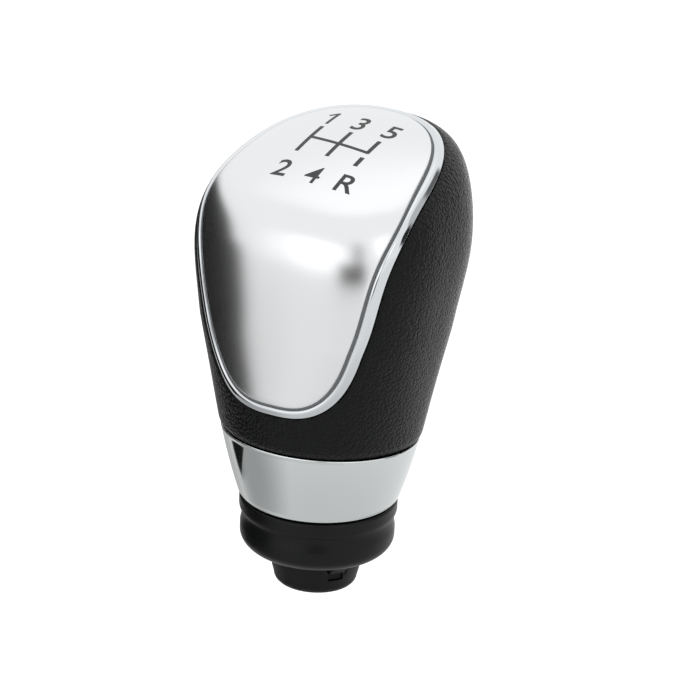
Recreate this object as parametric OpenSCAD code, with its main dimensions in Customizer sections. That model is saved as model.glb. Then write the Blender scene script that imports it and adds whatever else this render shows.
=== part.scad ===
// Gear shift knob for a five speed gear lever. A satin shield with a chrome bezel is let into the front
// and top of a grained grip, a slanted chrome ring closes the grip's lower end, and a collar for the
// lever's gaiter turns on the neck below it. The lever pushes into the metal insert from below.
// The origin is the centre of the lever bore's mouth, +Z runs up the lever, and -Y faces the driver.

/* [Lever socket] */
// Diameter of the bore that the gear lever pushes into
bore_d = 12; // [11:0.1:12.4]
// Depth of the lever bore
bore_depth = 36; // [30:0.5:40]
// Wall of the metal insert
insert_wall = 1; // [0.8:0.05:1.1]
// Number of keying grooves round the insert
insert_grooves = 3; // [2:1:4]

/* [Neck] */
// Wall of the neck round the insert, where the collar turns
neck_wall = 1.95; // [1.8:0.05:2.2]
// How much smaller the neck's radius is at its lower end
neck_taper = 1.2; // [0.8:0.1:1.3]
// Length of neck that shows below the collar
neck_free = 6.9; // [6:0.1:8]
// Radius of the neck's lower edge
neck_edge_r = 1.4; // [1:0.1:1.4]
// Height of the neck's lip, which closes under the insert
neck_lip_h = 2; // [1.5:0.1:2.5]
// Thickness of the flange that the screws hold
flange_t = 2.5; // [2.2:0.1:3]
// How far the latches stand out from the journal
latch_reach = 0.8; // [0.5:0.05:1]
// Width of a latch
latch_w = 3; // [2:0.1:4]

/* [Gaiter collar] */
// Height of the collar
collar_h = 10.6; // [9.6:0.1:12]
// How far the lip at the collar's top lies inside the ring's foot
collar_lip_in = 0.1; // [0:0.05:0.3]
// How far the barrel below the waist lies inside the ring's foot
collar_barrel_in = 0.4; // [0.3:0.05:0.6]
// Depth of the waist that holds the gaiter's cord, below the barrel
collar_waist_in = 0.3; // [0.2:0.05:0.5]
// Width of the flat foot round the neck
collar_foot_w = 1.24; // [1.1:0.02:2]
// Wall of the collar
collar_wall = 1.5; // [1.2:0.1:1.8]
// Number of ribs between the collar's hub and its shell
collar_ribs = 8; // [4:1:12]

/* [Chrome ring] */
// Height of the ring on the lever's axis
ring_h = 12.9; // [12:0.1:15]
// Diameter of the ring at its top
ring_top_d = 36.2; // [35.6:0.1:36.6]
// How far the ring's side bows out from a straight cone
ring_bow = 0.35; // [0:0.05:0.6]
// Slant of the ring's top, which is higher towards the driver
seam_tilt = 4.6; // [0:0.1:6]
// Wall of the ring
ring_wall = 1.4; // [1.2:0.05:1.5]
// Radius of the ring's lower edge
ring_edge_r = 0.6; // [0.3:0.05:0.6]

/* [Head form] */
// Height of the head above the ring, on the lever's axis
head_h = 53.7; // [50:0.1:60]
// Half width at the ring
half_w_0 = 18.5; // [18.2:0.1:19.4]
// Half width a fifth of the way up
half_w_1 = 20.2; // [19:0.1:21.5]
// Half width near the middle
half_w_2 = 22.4; // [21:0.1:24]
// Half width at the shoulder
half_w_3 = 23.9; // [22.5:0.1:25.5]
// Half width carried on to the crown
half_w_4 = 22.7; // [21.5:0.1:24]
// Reach towards the driver at the ring
front_0 = 19.1; // [18.8:0.1:19.6]
// Reach towards the driver a fifth of the way up
front_1 = 19.6; // [19.2:0.1:20.2]
// Reach towards the driver near the middle
front_2 = 20.3; // [19.8:0.1:21]
// Reach towards the driver at the shoulder
front_3 = 20.8; // [20.2:0.1:21.5]
// Reach towards the driver at the crown
front_4 = 20.5; // [20:0.1:21.5]
// Reach to the back at the ring
back_0 = 17.7; // [17.6:0.1:18.6]
// Reach to the back a fifth of the way up
back_1 = 18.7; // [18.3:0.1:19.6]
// Reach to the back near the middle
back_2 = 21.2; // [20:0.1:22.5]
// Reach to the back at the shoulder
back_3 = 25.7; // [24.5:0.1:27]
// Reach to the back at the crown
back_4 = 28.6; // [27.6:0.1:30]
// How square the head's cross section is, where 2 is an ellipse
head_square = 2.55; // [2.2:0.05:3]
// How tight the edge between the sides and the top is
edge_tight = 9; // [7:0.5:11]
// Rise of the top towards the back
dome_tilt = 13; // [9:0.5:16]
// Crown radius of the top from side to side
dome_across_r = 71; // [60:1:90]
// Crown radius of the top from front to back
dome_along_r = 83; // [70:1:110]

/* [Shield] */
// Tilt of the plane that the shield's outline is drawn on, measured up from the front
shield_tilt = 60; // [57:0.5:62]
// Height of the outline's centre above the seam
shield_z = 28; // [27:0.5:29]
// How far the outline's centre lies behind the lever's axis
shield_y = 3.9; // [3:0.1:5]
// Half width of the shield's outline
shield_half_w = 20.2; // [18.5:0.1:20.6]
// Half length of the shield's outline on its plane
shield_half_l = 29.6; // [27:0.1:29.8]
// How square the shield's outline is, where 2 is an ellipse
shield_square = 2.3; // [2:0.05:2.6]
// Width of the bezel that shows round the plate
bezel_w = 1.9; // [1.5:0.05:2.2]
// Width of the bezel's ledge under the plate
bezel_ledge = 1.6; // [1.2:0.1:2]
// Height of the bezel's bead above the grip
bezel_bead = 0.25; // [0.1:0.05:0.4]
// Depth of the bezel below the grip's surface
bezel_depth = 2.4; // [2.2:0.1:3]
// Thickness of the shield plate
plate_t = 0.8; // [0.6:0.05:0.9]
// Thickness of the adhesive tape
tape_t = 0.2; // [0.15:0.05:0.25]
// Length of a snap leg's lead below its nose
leg_l = 2.4; // [1.8:0.1:3]
// How far a snap leg's nose catches
leg_nose = 0.8; // [0.5:0.05:1]

/* [Grip and core] */
// Thickness of the grip's skin
skin_t = 1.4; // [1:0.1:1.6]
// Wall of the moulded core
core_wall = 3; // [2.4:0.1:3.4]
// Wall of the socket inside the core
socket_wall = 3.2; // [2.6:0.1:4]
// Thickness of the core's ribs
rib_t = 2; // [1.4:0.1:2.6]

/* [Screws] */
// Number of screws that hold the neck to the core
screws = 3; // [2:1:4]
// Diameter of a screw's shank
screw_d = 2; // [1.8:0.1:2.2]
// Diameter of a screw's head
screw_head_d = 3.6; // [3.4:0.1:3.8]
// Height of a screw's head
screw_head_h = 1.3; // [1:0.1:1.4]
// Length of a screw's shank
screw_l = 8; // [6:0.5:9]
// Land that the neck's flange leaves on either side of a screw's head
screw_land = 0.35; // [0.3:0.05:0.5]

/* [Fits] */
// Radial running clearance between the neck and the collar
run_fit = 0.06; // [0.03:0.01:0.1]
// Gap between the turning collar and the faces above and below it
run_gap = 0.3; // [0.2:0.05:0.4]
// Gap between fixed pieces that lie against each other
seat_gap = 0.1; // [0.05:0.01:0.12]
// Gap that shows between the bezel, the plate and the grip
show_gap = 0.15; // [0.1:0.01:0.2]

/* [Hidden] */

// Cells along one side of the square grid that a shield piece is drawn on
cells = 14;
// Steps of the search for a point on the head
search_steps = 15;
// Facets of the round pieces, and of the screws and their holes
round_fn = 96;
small_fn = 32;
// How far a cutting body runs past the face that it cuts
past = 1;

// Heights of the stacked pieces along the lever
collar_z = neck_free;
collar_top = collar_z + collar_h;
flange_z = collar_top + run_gap;
flange_top = flange_z + flange_t;
lip_z = flange_top + seat_gap;
lip_t = 1.2;
spigot_z = lip_z + lip_t + seat_gap;
seam_top = flange_z + ring_h;
head_top = seam_top + head_h;

// Radii of the round pieces
insert_r = bore_d / 2 + insert_wall;
neck_hole_r = insert_r + seat_gap / 2;
neck_r = neck_hole_r + neck_wall;
flange_r = neck_r + screw_head_d + 2 * screw_land;
ring_in_r = flange_r + seat_gap;
ring_foot_r = ring_in_r + ring_wall;
lip_r = flange_r - 0.5;
socket_r = neck_r + seat_gap;
screw_circle_r = (neck_r + flange_r) / 2;

// Head sections: share of the height, half width, reach to the front, reach to the back
head_form = [
    [0, half_w_0, front_0, back_0],
    [0.2, half_w_1, front_1, back_1],
    [0.45, half_w_2, front_2, back_2],
    [0.7, half_w_3, front_3, back_3],
    [1, half_w_4, front_4, back_4]
];

// Depths below the grip's surface of the pieces stacked under the shield
plate_under = plate_t;
tape_over = plate_under + seat_gap / 2;
tape_under = tape_over + tape_t;
carrier_over = tape_under + seat_gap / 2;
carrier_flange_t = 0.6;
carrier_under = bezel_depth;
ledge_over = carrier_over + carrier_flange_t + seat_gap;
core_ledge = bezel_depth + seat_gap;
core_over = skin_t + seat_gap;
cavity_in = core_over + core_wall;
// How far inside the shield's outline the opening in the core's ledge lies, and the cavity's floor
opening_edge = bezel_w + bezel_ledge + 0.8 * bezel_depth;
cavity_low = 0.07;
// Core: gap at the socket's end, how far the ribs rise over it, their foot above the seam, and the
// lap of the spigot into the shell
socket_end_gap = 0.5;
rib_over = 9;
rib_foot = 4;
spigot_lap = 0.6;
// How far the ring's cone is drawn above the seam before the slant is cut
ring_over = 4;
// Latch: height, height of its catching edge and depth of its root; slots and window that free it
latch_h = 2;
latch_edge = 0.6;
latch_root = 0.8;
slot_w = 0.6;
window_h = 1.6;
window_depth = 1.4;
// Bevelled margin of the plate, inside which plate, tape and carrier lie flat on each other
plate_land = 0.7;
// Snap legs: thickness, width, gap to the core, thickness of the nose and reach of the lower hook
leg_t = 1.4;
leg_w = 3;
leg_gap = 0.4;
nose_t = 0.5;
hook_nose = 1.6;
// Height of the spine that the layers are inset towards
spine_top = seam_top + 0.58 * head_h;
spine_y = 2;

function unit(v) = v / norm(v);
function clamp(x, low, high) = min(max(x, low), high);
function blend(a, b, s) = a + (b - a) * s;
// A cosine or sine raised to draw a superellipse
function round_power(x, n) = sign(x) * pow(abs(x), 2 / n);

// Smooth curve through column c of the head's sections, at share w of the height
function tangent(i, c) =
    let (a = max(i - 1, 0), b = min(i + 1, len(head_form) - 1))
    (head_form[b][c] - head_form[a][c]) / (head_form[b][0] - head_form[a][0]);
function span_at(w, i = 0) = i >= len(head_form) - 2 || w <= head_form[i + 1][0] ? i : span_at(w, i + 1);
function reach_at(w, c) =
    let (
        s = clamp(w, 0, 1.1),
        i = span_at(s),
        h = head_form[i + 1][0] - head_form[i][0],
        t = (s - head_form[i][0]) / h,
        u = 1 - t
    )
    u * u * (1 + 2 * t) * head_form[i][c] + t * t * (3 - 2 * t) * head_form[i + 1][c]
    + h * t * u * (u * tangent(i, c) - t * tangent(i + 1, c));
function square_at(w) = blend(2, head_square, clamp(w / 0.4, 0, 1));

// Height of the slanted seam between the ring and the grip, and of the top, over a point
function seam_z(y) = seam_top - tan(seam_tilt) * y;
function dome_z(x, y) =
    head_top + tan(dome_tilt) * y - x * x / (2 * dome_across_r) - y * y / (2 * dome_along_r);

// Below zero inside the head and above zero outside it
function head_field(p) =
    let (
        low = seam_z(p.y),
        w = (p.z - low) / head_h,
        h = (p.z - low) / (dome_z(p.x, p.y) - low),
        n = square_at(w),
        across = abs(p.x) / reach_at(w, 1),
        along = abs(p.y) / reach_at(w, p.y < 0 ? 2 : 3),
        c = pow(pow(across, n) + pow(along, n), 1 / n)
    )
    pow(c, edge_tight) + pow(max(h, 0), edge_tight) - 1;

// A surface point moved t deeper, straight towards the spine
function inset(p, t) = p + t * unit([0, spine_y, min(p.z, spine_top)] - p);

// Point where the line from a, deep in the head, to b, outside it, comes to t below the surface
function meet(a, b, t = 0, k = search_steps) =
    let (m = (a + b) / 2)
    k == 0 ? m : head_field(inset(m, -t)) < 0 ? meet(m, b, t, k - 1) : meet(a, m, t, k - 1);

// The shield's plane: its normal, its up direction and its centre
shield_normal = [0, -cos(shield_tilt), sin(shield_tilt)];
shield_up = [0, sin(shield_tilt), cos(shield_tilt)];
shield_mid = [0, shield_y, seam_top + shield_z];
// Point under q of the shield's plane, on a steeper plane that stays inside the head
shield_lean = 0.3;
function deep_point(q) = shield_mid + [q.x, 0, 0] + q.y * (shield_up + shield_lean * shield_normal);
// Point over q of the shield's plane that lies t below the head's surface
function under_head(q, t) = meet(deep_point(q), deep_point(q) + head_h * shield_normal, t);
function on_head(q) = under_head(q, 0);

// Superellipse on the shield's plane, and the shield's outline brought in by e along the surface
function squared(a, half_w, half_l) =
    [half_w * round_power(cos(a), shield_square), half_l * round_power(sin(a), shield_square)];
function outline(a, e) =
    squared(a, shield_half_w - e, shield_half_l - e * (sin(a) < 0 ? 0.55 : 0.85));
// Outline of the opening in the core's ledge
function opening(a) = squared(a, shield_half_w - opening_edge, shield_half_l - opening_edge);

// Angle of the i-th point round a square grid of m cells once it is bent to a disc
function rim_angle(i, m) = 90 * floor(i / m) + asin((2 * (i % m) / m - 1) / sqrt(2));
function rim_ring(e, t, m = cells) =
    [for (i = [0:4 * m - 1]) inset(on_head(outline(rim_angle(i, m), e)), t)];

// The same grid's points over the whole shield, inside e
function disc_grid(e, t, m = cells) = [
    for (j = [0:m], i = [0:m])
        let (
            u = 2 * i / m - 1,
            v = 2 * j / m - 1,
            d = [u * sqrt(1 - v * v / 2), v * sqrt(1 - u * u / 2)]
        )
        inset(on_head(norm(d) * outline(atan2(d.y, d.x), e)), t)
];

// Level ring round the head at share w of its height, and one a share s of the way down to it
function level_point(a, w) =
    let (
        n = square_at(w),
        x = reach_at(w, 1) * round_power(cos(a), n),
        y = reach_at(w, sin(a) < 0 ? 2 : 3) * round_power(sin(a), n)
    )
    [x, y, seam_z(y) + w * head_h];
function level_ring(w, t, m = cells) =
    [for (i = [0:4 * m - 1]) inset(level_point(rim_angle(i, m), w), t)];
function wrap_ring(e, s, w, t, m = cells) = [
    for (i = [0:4 * m - 1])
        let (
            a = rim_angle(i, m),
            mid = [0, spine_y, spine_top],
            aim = unit(blend(on_head(outline(a, e)), level_point(a, w), s) - mid)
        )
        inset(meet(mid, mid + head_h * aim), t)
];

// Faces between ring k and ring l of n points each, counted from point o
function band(k, l, n, o = 0) = [
    for (i = [0:n - 1])
        [o + k * n + i, o + k * n + (i + 1) % n, o + l * n + (i + 1) % n, o + l * n + i]
];

// Solid whose section is the closed loop that the rings pass through
module loop_solid(rings) {
    n = len(rings[0]);
    polyhedron(
        points = [for (r = rings) each r],
        faces = [for (k = [0:len(rings) - 1]) each band(k, (k + 1) % len(rings), n)],
        convexity = 6
    );
}

// Point of the disc grid that lies at the i-th place round its rim
function rim_node(i, m) =
    let (k = floor(i / m), j = i % m)
    k == 0 ? j * (m + 1) + m : k == 1 ? m * (m + 1) + m - j : k == 2 ? (m - j) * (m + 1) : j;

// Solid between an upper and a lower disc grid, joined by the rings between their rims
module disc_solid(upper, rings, lower, m = cells) {
    g = (m + 1) * (m + 1);
    n = 4 * m;
    last = len(rings) - 1;
    polyhedron(
        points = concat(upper, lower, [for (r = rings) each r]),
        faces = concat(
            [for (j = [0:m - 1], i = [0:m - 1])
                let (a = j * (m + 1) + i) [a, a + m + 1, a + m + 2, a + 1]],
            [for (j = [0:m - 1], i = [0:m - 1])
                let (a = g + j * (m + 1) + i) [a, a + 1, a + m + 2, a + m + 1]],
            [for (k = [0:1:last - 1]) each band(k, k + 1, n, 2 * g)],
            [for (i = [0:n - 1])
                let (
                    j = (i + 1) % n,
                    a = rim_node(i, m),
                    b = rim_node(j, m),
                    first = 2 * g,
                    final = 2 * g + last * n
                )
                each last < 0
                    ? [[a, b, g + b, g + a]]
                    : [[a, b, first + j, first + i], [final + i, final + j, g + b, g + a]]]
        ),
        convexity = 6
    );
}

// Solid below a disc grid, down through the rings to a level floor
module bowl_solid(upper, rings, m = cells) {
    g = (m + 1) * (m + 1);
    n = 4 * m;
    last = len(rings) - 1;
    floor_mid = [0, 0, seam_z(0) + rings[last][0].z - seam_z(rings[last][0].y)];
    polyhedron(
        points = concat(upper, [for (r = rings) each r], [floor_mid]),
        faces = concat(
            [for (j = [0:m - 1], i = [0:m - 1])
                let (a = j * (m + 1) + i) [a, a + m + 1, a + m + 2, a + 1]],
            [for (i = [0:n - 1])
                let (a = rim_node(i, m), b = rim_node((i + 1) % n, m))
                [a, b, g + (i + 1) % n, g + i]],
            [for (k = [0:1:last - 1]) each band(k, k + 1, n, g)],
            [for (i = [0:n - 1]) let (o = g + last * n) [o + i, o + (i + 1) % n, g + (last + 1) * n]]
        ),
        convexity = 6
    );
}

// Steps from the shield's edge down to the low ring, closer together where the back curls over
wrap_low = 0.06;
fine_steps = [0.06, 0.13, 0.21, 0.3, 0.4, 0.5, 0.6, 0.7, 0.8, 0.9, 1];
coarse_steps = [0.13, 0.3, 0.5, 0.7, 0.9];
cavity_steps = [0.2, 0.4, 0.6, 0.8];
// Rolled edges of the skin, at the bezel and above the ring
skin_edge = 0.8;
seam_edge = 1.9;

// Grained skin of the grip, turned in at the bezel and at the ring
module grip_skin() {
    low = seat_gap / head_h;
    roll = seam_edge / head_h;
    color([0.11, 0.11, 0.12])
        loop_solid(concat(
            [
                rim_ring(-show_gap, skin_t),
                rim_ring(-show_gap, 0.6 * skin_edge),
                rim_ring(-show_gap - 0.3 * skin_edge, 0.15 * skin_edge),
                rim_ring(-show_gap - skin_edge, 0)
            ],
            [for (s = fine_steps) wrap_ring(-show_gap - skin_edge, s, wrap_low, 0)],
            [
                level_ring(roll, 0.06 * seam_edge),
                level_ring(0.45 * roll, 0.24 * seam_edge),
                level_ring(low, 0.55 * seam_edge),
                level_ring(low, skin_t),
                level_ring(wrap_low, skin_t)
            ],
            [for (k = [len(coarse_steps) - 1:-1:0]) wrap_ring(-show_gap, coarse_steps[k], wrap_low, skin_t)]
        ));
}

// Moulded core: a thick cup with a ledge for the bezel, a socket for the neck and ribs round it
module core_shell() {
    difference() {
        bowl_solid(
            disc_grid(bezel_w + bezel_ledge, core_ledge),
            concat(
                [rim_ring(-show_gap, core_ledge), rim_ring(-show_gap, core_over)],
                [for (s = coarse_steps) wrap_ring(-show_gap, s, wrap_low, core_over)],
                [level_ring(wrap_low, core_over), level_ring(seat_gap / head_h, core_over)]
            )
        );
        bowl_solid(
            disc_grid(0, cavity_in),
            concat(
                [for (s = cavity_steps) wrap_ring(0, s, cavity_low, cavity_in)],
                [level_ring(cavity_low, cavity_in)]
            )
        );
        ledge_opening();
    }
}
// Opening through the core's ledge, with its walls square to the shield's plane
module ledge_opening() {
    n = 4 * cells;
    deep_ring = [for (i = [0:n - 1]) deep_point(opening(rim_angle(i, cells)))];
    polyhedron(
        points = concat(deep_ring, [for (p = deep_ring) p + head_h * shield_normal]),
        faces = concat([[for (i = [0:n - 1]) i]], [[for (i = [n - 1:-1:0]) n + i]], band(1, 0, n)),
        convexity = 4
    );
}
// Plug of the core that fills the chrome ring from above
module spigot() {
    plug_r = ring_top_d / 2 - ring_wall - seat_gap;
    intersection() {
        rotate_extrude($fn = round_fn)
            polygon([
                [0, spigot_z],
                [ring_in_r - seat_gap, spigot_z],
                [plug_r, seam_top],
                [plug_r, seam_top + ring_over],
                [0, seam_top + ring_over]
            ]);
        below_seam(spigot_lap);
    }
}
// Everything below the slanted seam, raised by lift
module below_seam(lift = 0) {
    side = 2 * ring_top_d;
    translate([0, 0, seam_top + lift])
        rotate([-seam_tilt, 0, 0])
            translate([-side / 2, -side / 2, -side])
                cube(side);
}
module core() {
    socket_top = bore_depth + socket_end_gap;
    socket_h = socket_top + socket_wall - seam_top;
    rib_reach = half_w_1 - core_over - core_wall / 2;
    color([0.2, 0.2, 0.21])
        difference() {
            union() {
                core_shell();
                spigot();
                translate([0, 0, seam_top])
                    cylinder(r = socket_r + socket_wall, h = socket_h, $fn = round_fn);
                for (a = [45, 135])
                    rotate([0, 0, a])
                        translate([-rib_reach, -rib_t / 2, seam_top + rib_foot])
                            cube([2 * rib_reach, rib_t, socket_h + rib_over - rib_foot]);
            }
            translate([0, 0, spigot_z - past])
                cylinder(r = socket_r, h = socket_top - spigot_z + past, $fn = round_fn);
            for (k = [1:screws])
                at_screw(k)
                    translate([0, 0, spigot_z - past])
                        cylinder(d = screw_d + seat_gap, h = screw_l + past, $fn = small_fn);
        }
}

// Leg at angle a of the opening, whose nose reaches under the core's ledge
module snap_leg(a, nose, lead) {
    edge = opening(a);
    along = unit(opening(a + 3) - opening(a - 3));
    out = [along.y, -along.x];
    catch = under_head(edge, cavity_in);
    tip = (under_head(edge + nose * out, cavity_in) - catch) * shield_normal - leg_gap;
    face = -leg_gap;
    inner = face - leg_t;
    root = (carrier_over + carrier_under) / 2;
    translate(catch)
        rotate([90 - shield_tilt, 0, 0])
            rotate([0, 0, atan2(out.y, out.x)])
                rotate([90, 0, 0])
                    translate([0, 0, -leg_w / 2])
                        linear_extrude(leg_w)
                            polygon([
                                [inner, (under_head(edge + inner * out, root) - catch) * shield_normal],
                                [inner, tip - lead],
                                [inner + leg_t / 2, tip - lead],
                                [nose, tip - nose_t],
                                [nose, tip],
                                [face, -leg_gap],
                                [face, (under_head(edge + face * out, root) - catch) * shield_normal]
                            ]);
}
// Carrier that clamps the bezel and takes the plate: it hooks in below and snaps in above
module shield_carrier() {
    edge = bezel_w + show_gap;
    body_edge = bezel_w + bezel_ledge + seat_gap;
    color([0.16, 0.16, 0.17])
        union() {
            disc_solid(
                disc_grid(edge + plate_land, carrier_over),
                [
                    rim_ring(edge, carrier_over),
                    rim_ring(edge, carrier_over + carrier_flange_t),
                    rim_ring(body_edge, carrier_over + carrier_flange_t)
                ],
                disc_grid(body_edge, carrier_under)
            );
            for (a = [65, 115])
                snap_leg(a, leg_nose, leg_l);
            snap_leg(270, hook_nose, 2 * nose_t);
        }
}

// Chrome bezel: a rounded bead, a groove beside the plate and a ledge under it
module shield_bezel() {
    ledge_edge = bezel_w + bezel_ledge;
    color([0.86, 0.87, 0.88])
        loop_solid([
            rim_ring(ledge_edge, bezel_depth),
            rim_ring(ledge_edge, ledge_over),
            rim_ring(bezel_w, ledge_over),
            rim_ring(bezel_w, 0.4),
            rim_ring(bezel_w - 0.35, 0),
            rim_ring(bezel_w * 0.58, -bezel_bead * 0.8),
            rim_ring(bezel_w * 0.32, -bezel_bead),
            rim_ring(bezel_w * 0.1, -bezel_bead * 0.5),
            rim_ring(0, 0.3),
            rim_ring(0, bezel_depth)
        ]);
}

// Satin plate with a rounded edge, and the tape that holds it to the carrier
module shield_plate() {
    edge = bezel_w + show_gap;
    color([0.78, 0.79, 0.8])
        disc_solid(
            disc_grid(edge + plate_land, 0),
            [rim_ring(edge + 0.2, 0.1), rim_ring(edge, 0.3), rim_ring(edge, plate_under)],
            disc_grid(edge + plate_land, plate_under)
        );
}
module plate_tape() {
    edge = bezel_w + show_gap + plate_land;
    color([0.85, 0.83, 0.75])
        disc_solid(disc_grid(edge, tape_over), [], disc_grid(edge, tape_under));
}

// Chrome ring: a bowed cone cut on the slant, with a lip inside that the neck's flange holds
module chrome_ring() {
    foot = ring_foot_r;
    rise = (ring_top_d / 2 - foot) / ring_h;
    cone_h = ring_h + ring_over;
    bow = [for (s = [0:0.1:1])
        [foot + rise * cone_h * s + 4 * ring_bow * s * (1 - s), flange_z + cone_h * s]];
    color([0.84, 0.85, 0.87])
        intersection() {
            rotate_extrude($fn = round_fn)
                polygon(concat(
                    [[ring_in_r, flange_z]],
                    [for (a = [-90:30:0])
                        [foot - ring_edge_r * (1 - cos(a)), flange_z + ring_edge_r * (1 + sin(a))]],
                    [for (k = [1:10]) bow[k]],
                    [for (k = [10:-1:3]) bow[k] - [ring_wall, 0]],
                    [[ring_in_r, lip_z + lip_t], [lip_r, lip_z + lip_t], [lip_r, lip_z], [ring_in_r, lip_z]]
                ));
            below_seam();
        }
}

// Places its children at screw k, round the lever
module at_screw(k) {
    rotate([0, 0, 360 * (k - 1) / screws + 30])
        translate([screw_circle_r, 0, 0])
            children();
}

// Neck: the journal for the collar, its flange, four latches and the hole for the insert
module neck_sleeve() {
    end_r = neck_r - neck_taper;
    latch_z = collar_z - run_gap;
    sink_h = screw_head_h + past + seat_gap;
    color([0.09, 0.09, 0.1])
        difference() {
            union() {
                rotate_extrude($fn = round_fn)
                    polygon(concat(
                        [[bore_d / 2, 0], [end_r - neck_edge_r, 0]],
                        [for (a = [-72:18:0])
                            [end_r - neck_edge_r + neck_edge_r * cos(a), neck_edge_r + neck_edge_r * sin(a)]],
                        [
                            [neck_r - 0.1, latch_z - 1],
                            [neck_r, latch_z],
                            [neck_r, flange_z],
                            [flange_r, flange_z],
                            [flange_r, flange_top],
                            [neck_r, flange_top],
                            [neck_r, bore_depth],
                            [neck_hole_r, bore_depth],
                            [neck_hole_r, neck_lip_h],
                            [bore_d / 2, neck_lip_h]
                        ]
                    ));
                for (a = [35, 145, 215, 325])
                    rotate([0, 0, a])
                        latch(latch_z);
            }
            for (a = [35, 145, 215, 325])
                rotate([0, 0, a])
                    latch_window(latch_z);
            for (k = [1:screws])
                at_screw(k)
                    translate([0, 0, flange_z - past]) {
                        cylinder(d = screw_d + 4 * seat_gap, h = flange_t + 2 * past, $fn = small_fn);
                        cylinder(d = screw_head_d + 2 * seat_gap, h = sink_h, $fn = small_fn);
                    }
        }
}
// Latch nose under the collar's foot, and the window and slots that free the tongue that it stands on
module latch(z) {
    rotate([90, 0, 0])
        translate([0, 0, -latch_w / 2])
            linear_extrude(latch_w)
                polygon([
                    [neck_r - latch_root, z - latch_h],
                    [neck_r - latch_root / 2, z - latch_h],
                    [neck_r + latch_reach, z - latch_edge],
                    [neck_r + latch_reach, z],
                    [neck_r - latch_root, z]
                ]);
}
module latch_window(z) {
    low = z - latch_h - window_h;
    translate([neck_r - window_depth, -latch_w / 2, low])
        cube([window_depth + past, latch_w, window_h]);
    for (side = [-1, 1])
        translate([neck_r - latch_root, side * (latch_w + slot_w) / 2 - slot_w / 2, low])
            cube([latch_root + past, slot_w, z - low]);
}

// Metal insert that the lever pushes into, standing on the neck's lip and keyed to the neck by grooves
module lever_insert() {
    groove_pitch = (bore_depth - flange_top) / insert_grooves;
    groove_w = 1.6;
    groove_depth = 0.4 * insert_wall;
    color([0.6, 0.61, 0.62])
        rotate_extrude($fn = round_fn)
            difference() {
                translate([bore_d / 2, neck_lip_h])
                    square([insert_wall, bore_depth - neck_lip_h]);
                for (k = [0:insert_grooves - 1])
                    translate([insert_r - groove_depth, flange_top + groove_pitch * (k + 0.5) - groove_w / 2])
                        square([groove_depth + past, groove_w]);
            }
}

// Self tapping screw, with a cross recess in its head
module neck_screw(k) {
    head_z = flange_z + seat_gap / 2;
    recess = [0.55 * screw_head_d, 0.14 * screw_head_d, 0.5 * screw_head_h];
    color([0.7, 0.7, 0.68])
        at_screw(k)
            difference() {
                union() {
                    translate([0, 0, head_z])
                        cylinder(d = screw_head_d, h = screw_head_h, $fn = small_fn);
                    translate([0, 0, head_z + screw_head_h])
                        cylinder(d = screw_d, h = screw_l, $fn = small_fn);
                }
                for (a = [0, 90])
                    rotate([0, 0, a])
                        translate([-recess.x / 2, -recess.y / 2, flange_z - past])
                            cube([recess.x, recess.y, recess.z + past]);
            }
}

// Collar for the gaiter: a shell with a lip and a waist, a hub that turns on the neck and ribs between
module gaiter_collar() {
    rim_r = ring_foot_r - collar_lip_in;
    barrel_r = ring_foot_r - collar_barrel_in;
    waist_r = barrel_r - collar_waist_in;
    hole_r = neck_r + run_fit;
    foot_r = hole_r + collar_foot_w;
    hub_r = hole_r + collar_wall;
    bowl_h = 3.2;
    barrel_h = 1.6;
    lip_h = 2.6;
    lip_edge = 0.5;
    rib_w = 1;
    rib_drop = 1.5;
    waist_h = 1;
    waist_flare = 0.6;
    waist_z = collar_top - lip_h - waist_flare - waist_h / 2;
    outside = concat(
        [for (a = [-90:15:0])
            [foot_r + (barrel_r - foot_r) * cos(a), collar_z + bowl_h + bowl_h * sin(a)]],
        [
            [barrel_r, collar_z + bowl_h + barrel_h],
            [waist_r, waist_z - waist_h / 2],
            [waist_r, waist_z + waist_h / 2],
            [rim_r, collar_top - lip_h],
            [rim_r, collar_top - lip_edge],
            [rim_r - lip_edge, collar_top]
        ]
    );
    color([0.13, 0.13, 0.14])
        difference() {
            rotate_extrude($fn = round_fn)
                polygon(concat([[hole_r, collar_top], [hole_r, collar_z]], outside));
            difference() {
                rotate_extrude($fn = round_fn)
                    polygon([
                        [hub_r, collar_z + collar_wall * 1.5],
                        [waist_r - collar_wall, collar_z + bowl_h + 0.4 * collar_wall],
                        [waist_r - collar_wall, collar_top + past],
                        [hub_r, collar_top + past]
                    ]);
                for (k = [1:collar_ribs])
                    rotate([0, 0, 360 * (k - 0.5) / collar_ribs])
                        translate([0, -rib_w / 2, collar_z])
                            cube([barrel_r, rib_w, collar_h - rib_drop]);
            }
        }
}

core();
grip_skin();
shield_carrier();
shield_bezel();
plate_tape();
shield_plate();
chrome_ring();
neck_sleeve();
lever_insert();
gaiter_collar();
for (k = [1:screws])
    neck_screw(k);
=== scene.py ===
import math

import bpy
import numpy as np
from mathutils import Matrix, Vector


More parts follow.
